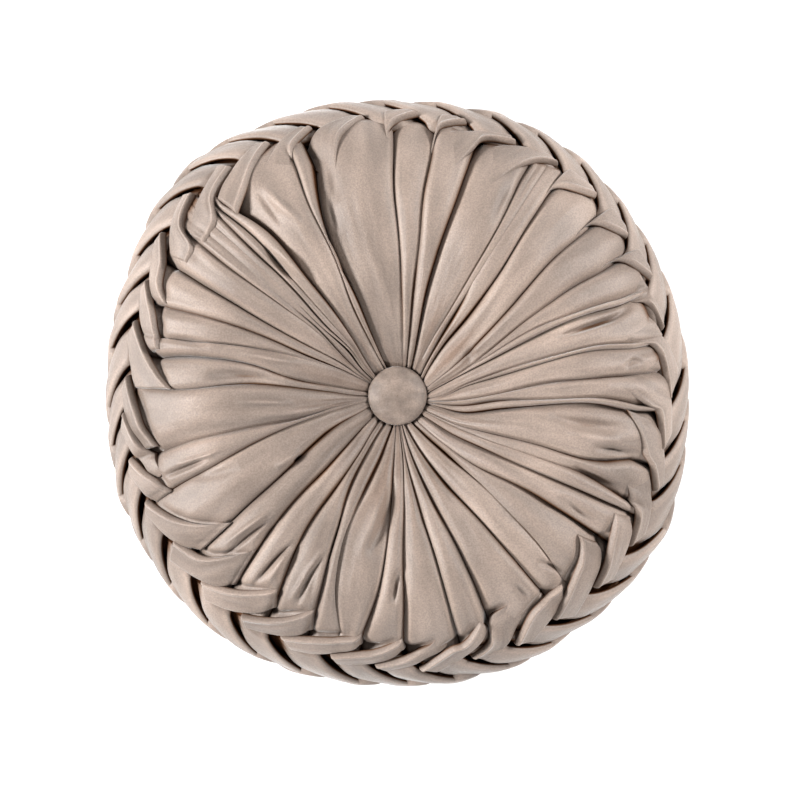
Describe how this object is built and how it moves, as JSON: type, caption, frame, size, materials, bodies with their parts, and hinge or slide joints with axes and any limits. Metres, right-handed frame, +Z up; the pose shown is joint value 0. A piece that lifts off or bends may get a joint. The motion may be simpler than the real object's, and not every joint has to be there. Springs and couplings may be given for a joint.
{
  "type": "pumpkin cushion",
  "caption": "Round pleated velvet cushion with a plaited rim and a covered button in the middle of its face.",
  "frame": {"origin": "middle of the underside, on the surface that the cushion lies on", "axes": "+Z up out of the face, +Y towards the top of the cushion as it is shown, +X to its right"},
  "size_m": [0.3994, 0.4012, 0.12],
  "materials": {
    "velvet": "soft short-pile velvet, taupe",
    "button_velvet": "the same velvet stretched over a button"
  },
  "bodies": {
    "root": {"cushion": "velvet", "front_button": "button_velvet", "back_button": "button_velvet"}
  },
  "joints": []
}
